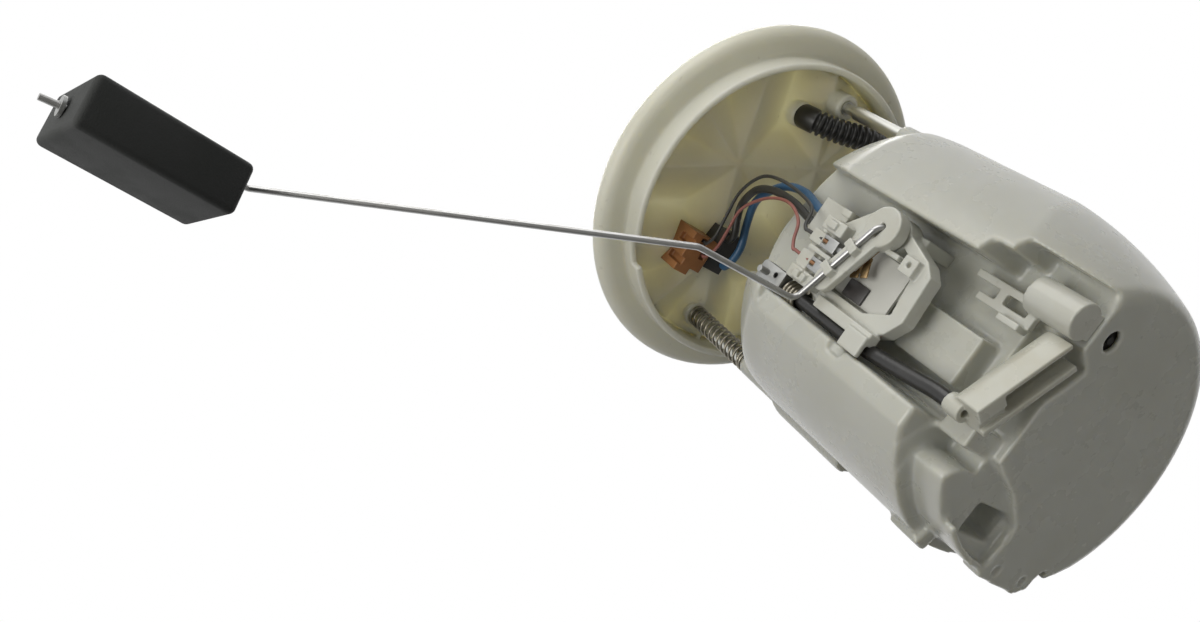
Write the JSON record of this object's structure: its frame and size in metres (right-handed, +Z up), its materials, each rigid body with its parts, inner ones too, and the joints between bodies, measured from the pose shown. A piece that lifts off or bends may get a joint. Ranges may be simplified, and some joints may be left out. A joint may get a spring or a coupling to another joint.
{
  "type": "fuel pump",
  "caption": "In-tank fuel pump module: ribbed flange on two guide rods over a white reservoir with filter, pump, level sender and a float on a wire arm.",
  "frame": {"origin": "centre of the flange's seat face, where the flange rests on the tank neck", "axes": "+Z up through the flange and out of the tank, -Y the side with the level sender and float, +X to the right when looking along +Y"},
  "size_m": [0.1621, 0.3316, 0.197],
  "materials": {
    "flange_plastic": "moulded, slightly yellowed",
    "white_plastic": "smooth moulded",
    "milky_plastic": "smooth moulded",
    "black_plastic": "moulded",
    "orange_plastic": "moulded",
    "steel": "bright zinc",
    "spring_steel": "drawn wire",
    "rubber": "satin",
    "blue_insulation": "extruded",
    "black_insulation": "extruded",
    "pink_insulation": "extruded",
    "filter_paper": "pleated paper",
    "strainer_mesh": "woven mesh",
    "pump_alloy": "die cast",
    "magnet": "sintered ferrite",
    "carbon": "pressed carbon",
    "brown_plastic": "moulded",
    "card_ceramic": "ceramic card",
    "copper": "copper windings",
    "impeller_plastic": "moulded",
    "brass": "turned",
    "contact_metal": "spring bronze",
    "float_foam": "closed-cell foam block"
  },
  "bodies": {
    "flange": {"flange_plate": "flange_plastic", "outlet_pipe": "flange_plastic", "power_socket": "black_plastic", "socket_pins": "steel", "guide_rod_left": "steel", "guide_rod_right": "steel", "rod_clip_left": "steel", "rod_clip_right": "steel", "guide_spring": "spring_steel", "feed_hose": "rubber", "sender_connector": "orange_plastic", "pump_connector": "black_plastic", "wire_blue": "blue_insulation", "wire_black": "black_insulation", "wire_thin_black": "black_insulation", "wire_pink": "pink_insulation"},
    "pump_rotor": {"pump_armature": "copper", "pump_shaft": "steel", "commutator": "copper", "impeller": "impeller_plastic"},
    "check_valve": {"check_valve": "brass"},
    "float_arm": {"rotor_arm": "white_plastic", "wiper": "contact_metal", "arm_wire": "steel", "float_clip": "steel"},
    "float": {"float": "float_foam"},
    "reservoir": {"reservoir_cup": "white_plastic", "reservoir_cover": "white_plastic", "harness_socket": "white_plastic", "filter_case": "white_plastic", "filter_cap": "white_plastic", "filter_element": "filter_paper", "pump_casing": "steel", "pump_inlet_cover": "pump_alloy", "pump_chamber_plate": "pump_alloy", "pump_outlet_cover": "black_plastic", "pump_magnets": "magnet", "pump_brushes": "carbon", "pump_mount_rings": "rubber", "suction_strainer": "strainer_mesh", "inlet_valve": "rubber", "pressure_regulator": "steel", "regulator_seal": "rubber", "hook_bracket": "white_plastic", "jet_pump_body": "milky_plastic", "jet_nozzle": "brown_plastic", "jet_hose": "rubber", "hose_bracket": "steel", "sender_frame": "white_plastic", "resistor_card": "card_ceramic", "sender_terminals": "steel"}
  },
  "joints": [
    {"name": "reservoir_slide", "type": "slide", "parent": "flange", "child": "reservoir", "axis": [0, 0, 1], "range_m": [0, 0.02], "stiffness_N_per_m": 400, "springref_m": -0.06, "deforming": ["guide_spring", "feed_hose", "wire_blue", "wire_black", "wire_thin_black", "wire_pink"]},
    {"name": "float_arm_swing", "type": "hinge", "parent": "reservoir", "child": "float_arm", "pos_m": [0.019, 0, -0.11], "axis": [0, 1, 0], "range_deg": [-68, 2]},
    {"name": "float_spin", "type": "hinge", "parent": "float_arm", "child": "float", "pos_m": [-0.0681, 0, -0.0395], "axis": [0, 1, 0], "continuous": true},
    {"name": "pump_rotor_spin", "type": "hinge", "parent": "reservoir", "child": "pump_rotor", "pos_m": [0, 0.01, -0.12], "axis": [0, 0, 1], "continuous": true},
    {"name": "check_valve_lift", "type": "slide", "parent": "reservoir", "child": "check_valve", "axis": [0, 0, 1], "range_m": [0, 0.0015], "stiffness_N_per_m": 100, "springref_m": -0.005}
  ]
}
